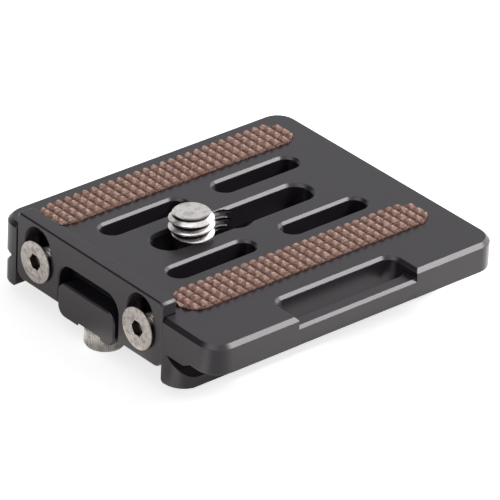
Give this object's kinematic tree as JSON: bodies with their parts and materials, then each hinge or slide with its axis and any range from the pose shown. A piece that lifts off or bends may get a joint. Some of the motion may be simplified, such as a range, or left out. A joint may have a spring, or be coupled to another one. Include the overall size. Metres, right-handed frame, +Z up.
{
  "type": "quick-release plate with an anti-twist lip",
  "caption": "Dovetail plate that holds a camera on a ball head, with a captive camera screw, grip pads, strap window and height-adjustable lip.",
  "frame": {"origin": "middle of the bottom of the outer box, in the plane of the stop screws' heads that the plate stands on", "axes": "+X along the dovetail, from the lip's end to the free end; +Y across it, away from the strap bar; +Z up through the camera face"},
  "size_m": [0.0502, 0.045, 0.0145],
  "materials": {
    "anodised_aluminium": "hard anodised, satin, dark warm grey",
    "stainless_steel": "satin, as turned",
    "bright_steel": "bright nickel plated",
    "nylon": "natural, matt",
    "grip_rubber": "matt brown, moulded in small pyramids"
  },
  "bodies": {
    "plate": {"plate_body": "anodised_aluminium", "grip_pad_far": "grip_rubber", "grip_pad_near": "grip_rubber", "stop_screw_lip_end": "stainless_steel", "stop_screw_free_end": "stainless_steel"},
    "lip": {"anti_twist_lip": "anodised_aluminium"},
    "far_clamp_screw": {"lip_screw_far": "stainless_steel"},
    "near_clamp_screw": {"lip_screw_near": "stainless_steel"},
    "screw_carriage": {"camera_screw_washer": "nylon"},
    "screw": {"camera_screw": "bright_steel"}
  },
  "joints": [
    {"name": "lip_height", "type": "slide", "parent": "plate", "child": "lip", "axis": [0, 0, 1], "range_m": [-0.0023, 0]},
    {"name": "lip_screw_far_turn", "type": "hinge", "parent": "plate", "child": "far_clamp_screw", "pos_m": [-0.02515, 0.0139, 0.00785], "axis": [1, 0, 0], "continuous": true},
    {"name": "lip_screw_near_turn", "type": "hinge", "parent": "plate", "child": "near_clamp_screw", "pos_m": [-0.02515, -0.0075, 0.00785], "axis": [1, 0, 0], "continuous": true},
    {"name": "camera_screw_travel", "type": "slide", "parent": "plate", "child": "screw_carriage", "axis": [1, 0, 0], "range_m": [-0.0039, 0.0184]},
    {"name": "camera_screw_turn", "type": "hinge", "parent": "screw_carriage", "child": "screw", "pos_m": [-0.00715, 0.0032, 0.01135], "axis": [0, 0, 1], "continuous": true}
  ]
}
